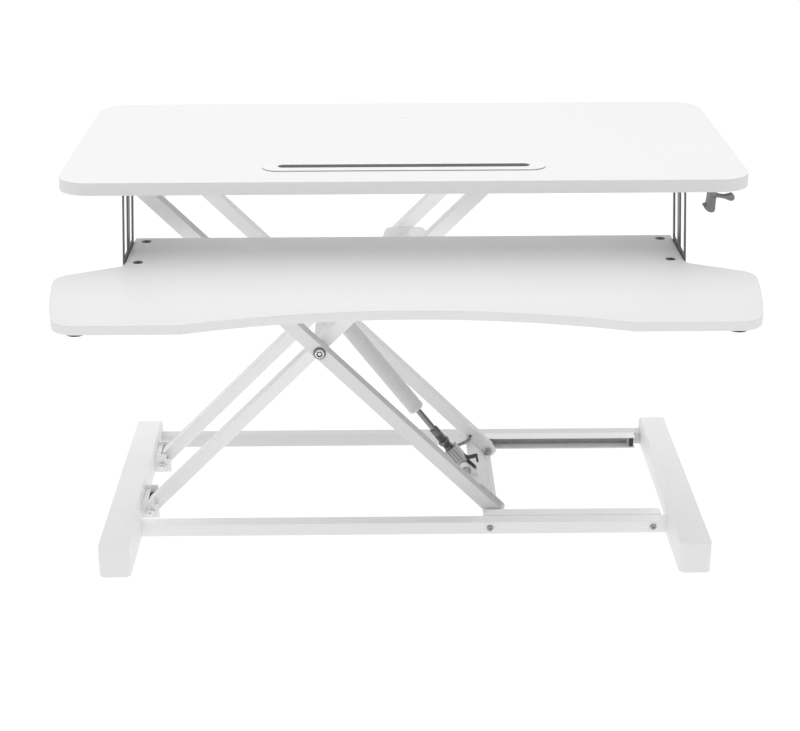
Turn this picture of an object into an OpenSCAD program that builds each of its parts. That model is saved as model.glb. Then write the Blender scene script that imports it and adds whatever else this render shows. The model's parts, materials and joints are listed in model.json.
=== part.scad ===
// Standing desk converter: a scissor lift with a wide top, a keyboard tray and a lockable gas spring.
// Drawn fully raised, in millimetres, +X right, +Y to the back, +Z up.
// The origin is on the floor, at the middle of the whole outline.
// The modules below measure Y from the middle of the top, and centred() moves them to the origin.
// The A arms run from upper left to lower right. The B arms run from lower left to upper right.

/* [Desktop] */
// Width of the top
panel_width = 800; // [600:10:1000]
// Depth of the top
panel_depth = 394; // [350:1:450]
// Thickness of the top
panel_thick = 15; // [12:1:20]
// Height of the top's upper face when fully raised
raised_height = 506; // [450:1:550]
// Corner radius of the top
panel_corner = 38; // [10:1:60]

/* [Keyboard tray] */
// Thickness of the tray
tray_thick = 11; // [9:0.5:16]
// Height of the tray's upper face when raised
tray_top = 409; // [380:1:430]
// Half width between the side brackets
tray_narrow = 325; // [300:1:330]
// Front edge of the wings
tray_front = -403; // [-420:1:-380]
// Rear edge of the tray
tray_rear = -95.5; // [-110:0.5:-94]

/* [Scissor] */
// Distance from the centre pivot to each end pivot
arm_half = 326; // [300:1:340]
// Arm angle from the floor when raised
theta = 45; // [40:0.5:50]
// X of the fixed left pivots
left_pivot_x = -337.2; // [-345:0.1:-330]
// Height of the lower pivots and roller axles
low_z = 10.2; // [9:0.1:12]
// Arm tube height, across the arm
arm_h = 17; // [14:0.5:22]
// Arm tube depth, front to back
arm_d = 21; // [16:0.5:24]
// Arm tube wall
arm_wall = 1.6; // [1.2:0.1:2.5]
// Front face of the front A arm
a_front = -52; // [-60:0.5:-45]
// Front face of the rear A arm
a_rear = 151.5; // [140:0.5:160]
// Gap between the A and B arms
arm_gap = 2.5; // [1.5:0.1:4]
// Pivot bolt radius
bolt_r = 3; // [2.5:0.5:4]
// Radial running clearance of the pivots
run_fit = 0.05; // [0.02:0.01:0.1]

/* [Base] */
// Outer half width over the feet
foot_outer = 381.5; // [360:1:400]
// Height of the feet
foot_h = 39.5; // [30:0.5:45]
// Front end of the feet
foot_front = -199; // [-210:1:-180]
// Rear end of the feet
foot_rear = 214; // [200:1:220]
// Front face of the front rail
rail_front = -90.5; // [-95:0.5:-85]
// Rear face of the rear rail
rail_rear = 211; // [200:1:215]
// Rail depth
rail_d = 18.5; // [15:0.5:25]
// Rail height
rail_h = 17.5; // [15:0.5:25]

/* [Gas spring] */
// Centre plane of the gas spring
spring_y = 38; // [20:1:60]
// Distance of the lower eye from the roller axle along the arm
eye_s = 45; // [40:1:60]
// Offset of the lower eye across the arm
eye_n = -7.6; // [-10:0.1:0]
// Crank radius of the upper eye about the centre pivot
crank = 29; // [20:1:40]
// Outer radius of the gas cylinder
cyl_r = 11; // [9:0.5:14]
// Radius of the piston rod
rod_r = 4; // [3:0.5:6]

/* [Node] */
// Sub-part to draw

/* [Hidden] */
$fn = 64;
half = panel_width / 2;
mid_y = (tray_front + foot_rear) / 2;
panel_under = raised_height - panel_thick;
px = left_pivot_x + arm_half * cos(theta);
pz = low_z + arm_half * sin(theta);
right_x = left_pivot_x + 2 * arm_half * cos(theta);
high_z = low_z + 2 * arm_half * sin(theta);
b_front = a_front + arm_d + arm_gap;
b_rear = a_rear - arm_gap - arm_d;
tray_under = tray_top - tray_thick;
rail_z = 0.7;
rail_top = rail_z + rail_h;
track_wall = 1.5;
track_in = 7.3;
track_d = 17.5;
track_x0 = 104;
track_x1 = 338;
low_track_front = rail_front + rail_d;
low_track_rear = rail_rear - rail_d;
g1x = right_x - (eye_s - eye_n) * cos(theta);
g1z = low_z + (eye_s + eye_n) * sin(theta);
g2x = px + crank * cos(theta);
g2z = pz + crank * sin(theta);
spring_len = norm([g1x - g2x, g1z - g2z]);
spring_ang = atan2(g2z - g1z, g1x - g2x);
top_rail_z = high_z + track_in + track_wall;
white = [0.93, 0.93, 0.92];
board = [0.96, 0.96, 0.95];
dark = [0.25, 0.26, 0.27];
steel = [0.72, 0.72, 0.73];
black = [0.07, 0.07, 0.07];
grey = [0.62, 0.62, 0.63];

// ---------- frames and helpers ----------

// Puts a part at the row origin.
module centred() {
    translate([0, -mid_y, 0])
        children();
}

// Along the A arms: x runs down to the roller, z is across the arm, the origin is the centre pivot.
module in_a() {
    translate([px, 0, pz])
        rotate([0, theta, 0])
            children();
}

// Along the B arms: x runs up to the roller, z is across the arm, the origin is the centre pivot.
module in_b() {
    translate([px, 0, pz])
        rotate([0, -theta, 0])
            children();
}

// Along the gas spring: x runs down to the lower eye, which is the origin.
module in_spring() {
    translate([g1x, spring_y, g1z])
        rotate([0, spring_ang, 0])
            children();
}

// Round bar along +Y from y0 to y1.
module bar_y(x, z, r, y0, y1) {
    translate([x, y0, z])
        rotate([-90, 0, 0])
            cylinder(r = r, h = y1 - y0);
}

// Hexagon along +Y, size is across the flats.
module hex_y(x, z, size, y0, y1) {
    translate([x, y0, z])
        rotate([-90, 0, 0])
            cylinder(d = size / cos(30), h = y1 - y0, $fn = 6);
}

// Box from two corners.
module box(a, b) {
    translate(a)
        cube(b - a);
}

// Plate in the XZ plane with rounded corners, from y0 to y1.
module round_plate(x0, x1, z0, z1, r, y0, y1) {
    box([x0 + r, y0, z0], [x1 - r, y1, z1]);
    box([x0, y0, z0 + r], [x1, y1, z1 - r]);
    for (x = [x0 + r, x1 - r])
        for (z = [z0 + r, z1 - r])
            bar_y(x, z, r, y0, y1);
}

// Hollow arm tube with rounded ends about the end pivots, front face at y0.
module arm_tube(y0) {
    y1 = y0 + arm_d;
    difference() {
        union() {
            box([-arm_half, y0, -arm_h / 2], [arm_half, y1, arm_h / 2]);
            for (x = [-arm_half, arm_half])
                bar_y(x, 0, arm_h / 2, y0, y1);
        }
        box(
            [-arm_half + 9, y0 + arm_wall, -arm_h / 2 + arm_wall],
            [arm_half - 9, y1 - arm_wall, arm_h / 2 - arm_wall]
        );
        bar_y(0, 0, bolt_r + run_fit, y0 - 1, y1 + 1);
    }
}

// Flexible cable through a list of points.
module cable(points, r) {
    for (i = [0:len(points) - 2])
        hull() {
            translate(points[i])
                sphere(r = r, $fn = 12);
            translate(points[i + 1])
                sphere(r = r, $fn = 12);
        }
}

// C channel along X, open on one side. side = 1 opens to +Y, side = -1 opens to -Y.
module channel(y_web, z_mid, side) {
    y_far = y_web + side * track_d;
    ya = min(y_web, y_far);
    yb = max(y_web, y_far);
    yi = y_web + side * track_wall;
    z_out = track_in + track_wall;
    difference() {
        box([track_x0, ya, z_mid - z_out], [track_x1, yb, z_mid + z_out]);
        box(
            [track_x0 - 1, side > 0 ? yi : ya - 1, z_mid - track_in],
            [track_x1 + 1, side > 0 ? yb + 1 : yi, z_mid + track_in]
        );
    }
}

// Points of an arc about [cx, cy], from angle a0 to a1.
function arc(cx, cy, r, a0, a1, n = 12) =
    [for (i = [0:n]) let (a = a0 + (a1 - a0) * i / n) [cx + r * cos(a), cy + r * sin(a)]];

// Outline of a bar with round ends from a to b.
function capsule(a, b, r) =
    let (t = atan2(b[1] - a[1], b[0] - a[0]))
        concat(
            arc(a[0], a[1], r, t + 90, t + 270),
            arc(b[0], b[1], r, t - 90, t + 90)
        );

// Extrudes a drawing of the XZ plane along Y, from y0 to y1.
module slab_y(y0, y1) {
    translate([0, y1, 0])
        rotate([90, 0, 0])
            linear_extrude(height = y1 - y0)
                children();
}

// Pan head screw along Y: head from y0 outwards to y0 - out, shank inwards.
module pan_screw(x, z, y0, out, shank, r_head, r_shank) {
    translate([x, y0, z])
        rotate([out > 0 ? 90 : -90, 0, 0]) {
            cylinder(r1 = r_head, r2 = r_head * 0.72, h = abs(out));
            translate([0, 0, -shank])
                cylinder(r = r_shank, h = shank);
        }
}

// ---------- the top ----------

module panel_outline() {
    w = half;
    d = panel_depth / 2;
    r = panel_corner;
    square([2 * (w - r), 2 * d], center = true);
    square([2 * w, 2 * (d - r)], center = true);
    for (x = [-w + r, w - r])
        for (y = [-d + r, d - r])
            translate([x, y])
                circle(r = r, $fn = 96);
}

module slot_shape(x, y0, y1) {
    r = (y1 - y0) / 2;
    translate([-x + r, y0])
        square([2 * (x - r), 2 * r]);
    for (s = [-x + r, x - r])
        translate([s, y0 + r])
            circle(r = r);
}

module desktop_panel() {
    color(board) centred()
        difference() {
            translate([0, 0, panel_under])
                linear_extrude(height = panel_thick)
                    panel_outline();
            translate([0, 0, raised_height - 10])
                linear_extrude(height = 12)
                    slot_shape(156, -145, -122);
            translate([0, 0, raised_height - 0.6])
                linear_extrude(height = 2)
                    slot_shape(166, -152, -116);
            translate([0, 116, raised_height - 10])
                cylinder(r = 7, h = 12);
            translate([0, 116, raised_height - 0.6])
                cylinder(r = 8.5, h = 2);
        }
}

// Trim of the slot that holds a tablet or phone upright.
module tablet_slot_trim() {
    color(grey) centred()
        difference() {
            union() {
                translate([0, 0, raised_height - 0.6])
                    linear_extrude(height = 2)
                        slot_shape(166, -152, -116);
                translate([0, 0, raised_height - 10])
                    linear_extrude(height = 10)
                        slot_shape(156, -145, -122);
            }
            translate([0, 0, raised_height - 8.5])
                linear_extrude(height = 12)
                    slot_shape(148, -139, -125);
        }
}

module accessory_hole_cap() {
    color(grey) centred() {
        translate([0, 116, raised_height - 10])
            cylinder(r = 7, h = 10);
        translate([0, 116, raised_height - 0.6])
            cylinder(r = 8.5, h = 0.6);
        translate([0, 116, raised_height])
            cylinder(r1 = 8.5, r2 = 7.8, h = 1);
    }
}

// Right edge of the tray, from the rear corner to the front corner of the wing.
wing_slope = 27.5;
side_r = 955;
rear_r = 25;
front_r = 27.7;
tray_edge = concat(
    [[tray_narrow, tray_rear]],
    arc(tray_narrow + 14, -194.3, 14, 180, 270 - wing_slope, 8),
    arc(372.6, -255.7, rear_r, 90 - wing_slope, -5, 10),
    arc(372.6 - (side_r - rear_r) * cos(5), -255.7 + (side_r - rear_r) * sin(5), side_r, -6, -11.5, 5),
    arc(351.5, tray_front + front_r, front_r, -12.5, -90, 10)
);

// The front edge is hollowed by a wide arc, so that it runs round the user.
hollow_r = 720;
hollow_y = -1082;
hollow_ang = asin((tray_front - hollow_y) / hollow_r);

module tray_outline() {
    n = len(tray_edge) - 1;
    polygon(concat(
        tray_edge,
        arc(0, hollow_y, hollow_r, hollow_ang, 180 - hollow_ang, 40),
        [for (i = [n:-1:0]) [-tray_edge[i][0], tray_edge[i][1]]]
    ));
}

module keyboard_tray() {
    color(board) centred()
        difference() {
            translate([0, 0, tray_under])
                linear_extrude(height = tray_thick)
                    tray_outline();
            for (x = [-310, 310])
                for (y = [-190, -110])
                    translate([x, y, tray_under - 1]) {
                        cylinder(r = 2.6, h = tray_thick + 2);
                        translate([0, 0, tray_thick - 1.4])
                            cylinder(r = 6.2, h = 4);
                    }
        }
}

module tray_screws() {
    color(dark) centred()
        for (x = [-310, 310])
            for (y = [-190, -110])
                translate([x, y, 0]) {
                    translate([0, 0, tray_top - 1.4])
                        cylinder(r1 = 6, r2 = 5.6, h = 1.7);
                    translate([0, 0, tray_under - 4])
                        cylinder(r = 2.5, h = tray_thick + 2.6);
                }
}

module tray_pads() {
    color(black) centred()
        for (x = [-350.5, 350.5])
            translate([x, -390, tray_under - 2.4])
                cylinder(r1 = 10.4, r2 = 11, h = 2.4);
}

// Steel plate that hangs the tray from the top: three legs and two windows. It leans a little outwards.
hang_top = 323.1;
hang_low = 327.9;
hang_thick = 2;

module side_bracket() {
    z0 = tray_under - 2.5;
    x0 = hang_top - hang_thick;
    difference() {
        union() {
            slab_y(-194, -110)
                polygon([
                    [x0, panel_under], [hang_top, panel_under],
                    [hang_low, z0], [hang_low - hang_thick, z0]
                ]);
            box([x0 - 33, -180, panel_under - 2.5], [x0 + 1, -110, panel_under]);
            box([x0 - 24, -194, z0], [hang_low - 1, -100, tray_under]);
        }
        for (y = [[-189, -159], [-143, -117]])
            box([x0 - 1, y[0], tray_top + 5], [hang_low + 1, y[1], panel_under - 3.5]);
        for (y = [-190, -110])
            translate([310, y, tray_under - 4])
                cylinder(r = 2.6, h = 6);
        for (y = [-168, -124])
            translate([310, y, panel_under - 4])
                cylinder(r = 2.6, h = 6);
    }
}

module side_bracket_right() {
    color(dark) centred()
        side_bracket();
}

module side_bracket_left() {
    color(dark) centred()
        mirror([1, 0, 0])
            side_bracket();
}

module side_bracket_screws() {
    color(steel) centred()
        for (x = [-310, 310])
            for (y = [-168, -124])
                translate([x, y, panel_under - 2.5]) {
                    translate([0, 0, -2.2])
                        cylinder(r1 = 3.4, r2 = 4.8, h = 2.2);
                    cylinder(r = 2.5, h = 2.5);
                }
}

// Folded steel rails under the panel.
module top_rail(y0) {
    difference() {
        box([-352, y0, top_rail_z], [350, y0 + 27, panel_under]);
        box([-353, y0 + 2, top_rail_z + 2], [351, y0 + 25, panel_under + 1]);
    }
    for (x = [-330, 0, 328])
        box([x - 9, y0 + 2, panel_under - 2], [x + 9, y0 + 25, panel_under]);
}

module top_rail_front() {
    color(white) centred()
        top_rail(a_front - 3.5);
}

module top_rail_rear() {
    color(white) centred()
        top_rail(a_rear - 2.5);
}

module top_cross_members() {
    y0 = a_front - 3.5 + 27;
    y1 = a_rear - 2.5;
    color(white) centred()
        for (x = [-300, 290])
            difference() {
                box([x, y0, top_rail_z + 2], [x + 24, y1, panel_under]);
                box([x + 2, y0 - 1, top_rail_z - 1], [x + 22, y1 + 1, panel_under - 2]);
            }
}

// The upper roller channels, under the top rails, open towards the B arms.
module top_track_front() {
    color(white) centred()
        channel(b_front - 2.2 - track_d, high_z, 1);
}

module top_track_rear() {
    color(white) centred()
        channel(b_rear + arm_d + 2.2 + track_d, high_z, -1);
}

// Channel that carries the upper left pivots, folded like an upside down U.
module top_pivot_bracket(y0) {
    y1 = y0 + arm_d;
    x0 = left_pivot_x - 14;
    x1 = left_pivot_x + 14;
    difference() {
        union() {
            for (y = [[y0 - 3, y0 - 0.6], [y1 + 0.6, y1 + 3]]) {
                box([x0, y[0], high_z], [x1, y[1], top_rail_z]);
                bar_y(left_pivot_x, high_z, 9.5, y[0], y[1]);
            }
        }
        box([x0 - 1, y0 - 4, high_z - 12], [left_pivot_x - 9.5, y1 + 4, high_z + 2]);
        box([left_pivot_x + 9.5, y0 - 4, high_z - 12], [x1 + 1, y1 + 4, high_z + 2]);
        box([x0 - 1, y0 - 4, top_rail_z], [x1 + 1, y1 + 4, top_rail_z + 4]);
        bar_y(left_pivot_x, high_z, bolt_r, y0 - 4, y1 + 4);
    }
}

module top_pivot_bracket_front() {
    color(white) centred()
        top_pivot_bracket(a_front);
}

module top_pivot_bracket_rear() {
    color(white) centred()
        top_pivot_bracket(a_rear);
}

// Shoulder bolt along Y with a pan head, from y0 to y1, and a nut at the end.
module pivot_bolt(x, z, y0, y1) {
    bar_y(x, z, bolt_r, y0 - 1, y1 + 1);
    translate([x, y0, z])
        rotate([90, 0, 0])
            cylinder(r1 = 6.5, r2 = 4.6, h = 3.4);
    hex_y(x, z, 10, y1, y1 + 5);
}

module top_pivot_bolts() {
    color(steel) centred() {
        pivot_bolt(left_pivot_x, high_z, a_front - 3, a_front + arm_d + 3);
        translate([0, 2 * a_rear + arm_d, 0])
            mirror([0, 1, 0])
                pivot_bolt(left_pivot_x, high_z, a_rear - 3, a_rear + arm_d + 3);
    }
}

// ---------- release handle ----------

hand_x = 358.8;
hand_y = -168;
hand_z = 480;
grip_front = hand_y - 8;
grip_rear = hand_y + 8;

// Mount under the panel, with the fixed grip at its front. The grip ends in a small hook.
module handle_housing() {
    color(grey) centred()
        difference() {
            union() {
                slab_y(grip_front, grip_rear)
                    polygon([
                        [353.5, panel_under], [353.5, 483], [352.3, 470.5], [351.6, 468.6],
                        [348.6, 467.4], [348.3, 466.2], [349.4, 464.6], [352.6, 461.9],
                        [355, 460.8], [358.2, 460.6], [360, 461.4], [361, 463.4],
                        [361.2, 472], [361.9, 483], [361.9, panel_under]
                    ]);
                box([344, grip_rear - 0.5, 484], [384, grip_rear + 28, panel_under]);
            }
            box([355.5, grip_front + 2.6, 464.5], [364, grip_rear - 2.6, panel_under - 2]);
            box([346, grip_rear + 2, 486], [382, grip_rear + 26, panel_under + 1]);
            bar_y(hand_x, hand_z, 1.6 + run_fit, grip_front - 1, grip_rear + 1);
            bar_y(376, panel_under - 4, 2.1, grip_rear + 25, grip_rear + 29);
        }
}

// Lever beside the grip: squeezing it up towards the panel releases the gas spring.
module handle_lever() {
    color(grey) centred() {
        slab_y(grip_front + 2.9, grip_rear - 2.9) {
            translate([hand_x, hand_z])
                circle(r = 2.6);
            polygon([
                [hand_x, hand_z + 2.6], [363.4, 480.9], [368, 479.8], [372.6, 479.3],
                [377, 480.2], [380.4, 481.4], [382.6, 480.6], [383.6, 478.4],
                [383.4, 475.6], [381.6, 473.7], [378.8, 473.4], [375, 474.9],
                [371.6, 476.4], [364.6, 477.6], [hand_x, hand_z - 2.6]
            ]);
        }
        bar_y(hand_x, hand_z, 1.6, grip_front, grip_rear);
    }
}

// ---------- cable ----------

cable_r = 1.7;
// Thicker outer sleeve on its open stretch
sleeve_r = 2.4;
// Hole in the rear A arm where the cable comes out
hole_x = arm_half - 35;
hole_z = -2;

// A point on the A arms: x runs down to the roller, z is across the arm.
function on_a(x, y, z) =
    [px + x * cos(theta) + z * sin(theta), y, pz - x * sin(theta) + z * cos(theta)];

// From the handle, back under the top, across behind the frame, to the upper left pivot axis.
module cable_top() {
    z = panel_under - 4;
    color(black) centred()
        cable([
            [376, grip_rear + 26.4, z],
            [376, 150, z],
            [372, 170, z],
            [360, 184, z],
            [342, 190, z],
            [left_pivot_x + 40, 190, z],
            [left_pivot_x + 12, 190, z - 1],
            [left_pivot_x + 2, 190, z - 7],
            [left_pivot_x, 189.4, high_z + 3],
            [left_pivot_x, 188, high_z]
        ], cable_r);
}

// On from the pivot axis, into the rear A arm, out near its lower end and up to the lock head.
module cable_arm() {
    y1 = a_rear + arm_d;
    ym = a_rear + arm_d / 2;
    color(black) centred() {
        cable([
            on_a(-arm_half, 184.2, 0),
            on_a(6 - arm_half, 183.6, 0),
            on_a(37 - arm_half, y1 + 4.1, 3),
            on_a(54 - arm_half, y1 - 1, 4),
            on_a(69.5 - arm_half, ym, 4.5),
            on_a(0, ym, 4.95),
            on_a(arm_half - 56, ym, 2),
            on_a(arm_half - 42, ym - 3, -0.5),
            on_a(hole_x, a_rear + 3.5, hole_z),
            on_a(hole_x, a_rear - 5, hole_z),
            [95, 132, 36.5]
        ], cable_r);
        cable([
            [96.2, 138, 35],
            [90, 114, 41.5],
            [83.5, 94, 47.5],
            [76, 75, 53],
            [69.5, 61, 57.5],
            [65.6, 53.4, 59.8]
        ], sleeve_r);
    }
}

module cable_clips() {
    color(white) centred()
        for (x = [-200, 0, 200])
            difference() {
                box([x - 4, 186.3, panel_under - 8.2], [x + 4, 196, panel_under]);
                translate([x - 5, 190, panel_under - 4])
                    rotate([0, 90, 0])
                        cylinder(r = 1.9, h = 10);
            }
}

// ---------- A frame ----------

module a_bores(y0) {
    for (x = [-arm_half, arm_half])
        bar_y(x, 0, x < 0 ? bolt_r + run_fit : 4, y0 - 1, y0 + arm_d + 1);
}

module arm_a_front() {
    color(white) centred()
        in_a()
            difference() {
                arm_tube(a_front);
                a_bores(a_front);
            }
}

module arm_a_rear() {
    color(white) centred()
        in_a()
            difference() {
                arm_tube(a_rear);
                a_bores(a_rear);
                translate([-arm_half + 40, a_rear + arm_d - 4, -1])
                    cube([36, 8, 7.6]);
                bar_y(hole_x, hole_z, 2.4, a_rear - 1, a_rear + 4);
            }
}

// Folded plate between the lower ends of the A arms. It carries the gas spring.
module a_cross_plate() {
    y0 = a_front + arm_d;
    y1 = a_rear;
    x1 = arm_half + 3;
    x0 = arm_half - 38;
    color(white) centred()
        in_a()
            difference() {
                union() {
                    box([x0, y0, -8.5], [x1, y1, -6.5]);
                    box([x1, y0 + 10, -8.5], [x1 + 2, y1 - 10, -1]);
                    for (y = [[y0, y0 + 2], [y1 - 2, y1]])
                        round_plate(x0 - 4, x1 + 6, -8.5, 11, 7, y[0], y[1]);
                    for (y = [spring_y - 10.6, spring_y + 8.1]) {
                        box([arm_half - eye_s - 7, y, -11], [arm_half - 30, y + 2.5, 0.6]);
                        bar_y(arm_half - eye_s - 7, -5.2, 5.8, y, y + 2.5);
                    }
                }
                bar_y(arm_half, 0, 4, y0 - 1, y1 + 1);
                bar_y(arm_half - eye_s, eye_n, 4, spring_y - 12, spring_y + 12);
                bar_y(hole_x, hole_z, 2.4, y1 - 4, y1 + 1);
            }
}

module a_top_tube() {
    color(white) centred()
        in_a()
            difference() {
                bar_y(-arm_half + 46, 0, 8, a_front + arm_d, a_rear);
                bar_y(-arm_half + 46, 0, 6.4, a_front + arm_d - 1, a_rear + 1);
            }
}

module spring_pin() {
    color(steel) centred() {
        bar_y(g1x, g1z, 4, spring_y - 10.6, spring_y + 10.6);
        translate([g1x, spring_y - 10.6, g1z])
            rotate([90, 0, 0])
                cylinder(r1 = 6.2, r2 = 4.8, h = 2.6);
        hex_y(g1x, g1z, 8.6, spring_y + 10.6, spring_y + 14.6);
    }
}

module base_axles() {
    color(steel) centred()
        for (f = [0, 1])
            translate([0, f * (a_front + arm_d + a_rear), 0])
                mirror([0, f, 0]) {
                    bar_y(right_x, low_z, 4, a_front - 16.6, a_front + arm_d + 2);
                    bar_y(right_x, low_z, 5.5, a_front - 17.6, a_front - 16.3);
                    hex_y(right_x, low_z, 10, a_front + arm_d + 2, a_front + arm_d + 6);
                }
}

module roller(x, z, y0) {
    difference() {
        union() {
            bar_y(x, z, 7, y0, y0 + 9);
            bar_y(x, z, 5.4, y0 - 0.6, y0 + 9.6);
        }
        bar_y(x, z, 4 + run_fit, y0 - 2, y0 + 11);
    }
}

module base_roller_front() {
    color(black) centred()
        roller(right_x, low_z, a_front - 15.4);
}

module base_roller_rear() {
    color(black) centred()
        roller(right_x, low_z, a_rear + arm_d + 6.4);
}

// ---------- B frame ----------

module b_bores(y0) {
    for (x = [-arm_half, arm_half])
        bar_y(x, 0, x < 0 ? bolt_r + run_fit : 4, y0 - 1, y0 + arm_d + 1);
}

module arm_b(y0) {
    difference() {
        arm_tube(y0);
        b_bores(y0);
    }
}

module arm_b_front() {
    color(white) centred()
        in_b()
            arm_b(b_front);
}

module arm_b_rear() {
    color(white) centred()
        in_b()
            arm_b(b_rear);
}

module b_axles() {
    color(steel) centred()
        for (f = [0, 1])
            translate([0, f * (a_front + arm_d + a_rear), 0])
                mirror([0, f, 0]) {
                    bar_y(right_x, high_z, 4, b_front - 16.6, b_front + arm_d);
                    bar_y(right_x, high_z, 5.5, b_front - 17.4, b_front - 16.3);
                    hex_y(right_x, high_z, 10, b_front + arm_d, b_front + arm_d + 4);
                }
}

module top_roller_front() {
    color(black) centred()
        roller(right_x, high_z, b_front - 15.4);
}

module top_roller_rear() {
    color(black) centred()
        roller(right_x, high_z, b_rear + arm_d + 6.4);
}

// Folded plate between the B arms, with rounded ears.
module b_cross_plate() {
    y0 = b_front + arm_d;
    y1 = b_rear;
    color(white) centred() {
        for (y = [[y0, y0 + 2], [y1 - 2, y1]])
            round_plate(-23.5, 33.5, 318, 352.5, 9, y[0], y[1]);
        in_b()
            box([126, y0 + 1, -8.5], [160, y1 - 1, -6.5]);
    }
}

// Tube between the B arms on the centre axis, with two crank ears for the gas spring.
module crank_tube() {
    color(white) centred()
        difference() {
            union() {
                bar_y(px, pz, 9, b_front + arm_d, b_rear);
                in_b()
                    for (y = [spring_y - 7.5, spring_y + 4.5]) {
                        box([0, y, -7], [crank, y + 3, 7]);
                        bar_y(crank, 0, 7, y, y + 3);
                    }
            }
            bar_y(px, pz, 6.5, b_front + arm_d - 1, b_rear + 1);
            bar_y(g2x, g2z, 3, spring_y - 9, spring_y - 3);
            bar_y(g2x, g2z, 3, spring_y + 3, spring_y + 9);
        }
}

// Short shoulder screws in the crank ears.
module crank_screws() {
    color(steel) centred()
        for (f = [0, 1])
            translate([0, f * 2 * spring_y, 0])
                mirror([0, f, 0]) {
                    bar_y(g2x, g2z, 3, spring_y - 7.5, spring_y - 4.5);
                    translate([g2x, spring_y - 7.5, g2z])
                        rotate([90, 0, 0])
                            cylinder(r1 = 5.6, r2 = 4.2, h = 2.6);
                }
}

// Centre pivot bolts through both arms, with a washer under each head.
module centre_bolts() {
    color(steel) centred()
        for (f = [0, 1])
            translate([0, f * (a_front + arm_d + a_rear), 0])
                mirror([0, f, 0]) {
                    bar_y(px, pz, bolt_r, a_front - 3, b_front + arm_d + 2);
                    translate([px, a_front - 1.8, pz])
                        rotate([90, 0, 0])
                            cylinder(r1 = 6.2, r2 = 4.4, h = 3.4);
                    hex_y(px, pz, 10, b_front + arm_d + 0.1, b_front + arm_d + 4.6);
                }
}

module centre_washers() {
    color(steel) centred()
        for (f = [0, 1])
            translate([0, f * (a_front + arm_d + a_rear), 0])
                mirror([0, f, 0])
                    difference() {
                        bar_y(px, pz, 8, a_front - 1.8, a_front - 0.3);
                        bar_y(px, pz, bolt_r + 0.02, a_front - 3, a_front + 1);
                    }
}

module spacer_bushes() {
    color(black) centred()
        for (f = [0, 1])
            translate([0, f * (a_front + arm_d + a_rear), 0])
                mirror([0, f, 0])
                    difference() {
                        bar_y(px, pz, 7.5, a_front + arm_d + 0.3, b_front);
                        bar_y(px, pz, bolt_r + 0.02, a_front + arm_d - 1, b_front + 1);
                    }
}

// ---------- gas spring ----------

module gas_cylinder() {
    color(white) centred()
        difference() {
            union() {
                in_spring()
                    rotate([0, 90, 0]) {
                        translate([0, 0, -spring_len + 15])
                            cylinder(r = cyl_r, h = spring_len - 15 - 111.5);
                        translate([0, 0, -111.5])
                            cylinder(r1 = cyl_r, r2 = cyl_r - 2, h = 1.5);
                    }
                in_spring()
                    translate([-spring_len, -3.5, 0]) {
                        box([0, 0, -5], [16, 7, 5]);
                        bar_y(0, 0, 6, 0, 7);
                    }
            }
            in_spring()
                rotate([0, 90, 0])
                    translate([0, 0, -spring_len + 60])
                        cylinder(r = rod_r + run_fit, h = spring_len);
        }
}

// Dark end guide where the rod leaves the cylinder.
module cylinder_guide() {
    color(dark) centred()
        in_spring()
            rotate([0, 90, 0])
                translate([0, 0, -110])
                    difference() {
                        cylinder(r1 = 7, r2 = 6, h = 1.2);
                        translate([0, 0, -1])
                            cylinder(r = rod_r + run_fit, h = 4);
                    }
}

module piston_rod() {
    color(steel) centred()
        in_spring()
            rotate([0, 90, 0])
                translate([0, 0, -160])
                    cylinder(r = rod_r, h = 87);
}

// Threaded sleeve and lock nuts below the rod.
module lock_sleeve() {
    color(dark) centred()
        in_spring()
            rotate([0, 90, 0])
                translate([0, 0, -74.5]) {
                    difference() {
                        cylinder(r = 6, h = 37);
                        translate([0, 0, -1])
                            cylinder(r = rod_r, h = 2.5);
                    }
                    translate([0, 0, 22])
                        cylinder(d = 16, h = 5, $fn = 6);
                }
}

// Lock head: side plates and ribs around the release pin, with the lower eye.
module lock_head() {
    color(steel) centred()
        in_spring()
            difference() {
                union() {
                    for (z = [-7.2, -3, 1.2, 5.4])
                        box([-37.5, -7.4, z], [-12.3, 7.4, z + 2.6]);
                    box([-37.5, -5.6, -7], [-9.5, 5.6, 7]);
                    for (y = [-7.6, 5.6])
                        box([-16.5, y, -6.6], [0, y + 2, 8]);
                    for (y = [-7.6, 5.6])
                        bar_y(0, 0, 5.6, y, y + 2);
                    box([-37.5, -7.6, 7.9], [-12.3, 7.6, 10]);
                    bar_y(-31.5, -2.6, 3, 7.4, 12);
                }
                bar_y(0, 0, 4 + run_fit, -12, 12);
                bar_y(-12, 8, 6.4, -2.4, 2.4);
                bar_y(-12, 8, 1.5, -12, 12);
            }
}

// Forked lever that pushes the release pin when the cable pulls.
module release_lever() {
    hub = [-12, 8];
    tip = [-6.2, 21.7];
    color(dark) centred()
        in_spring()
            slab_y(-1.9, 1.9)
                difference() {
                    union() {
                        translate(hub)
                            circle(r = 4.6);
                        polygon(capsule(hub, tip, 2.2));
                        polygon(capsule(tip, [1.4, 18.4], 1.5));
                        polygon(capsule(hub, [6.4, 10.4], 1.7));
                    }
                    translate(hub)
                        circle(r = 1.5 + run_fit);
                }
}

module release_pin() {
    color(steel) centred()
        in_spring()
            bar_y(-12, 8, 1.5, -7.4, 7.4);
}

// ---------- base ----------

foot_z = 0.2;

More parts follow.
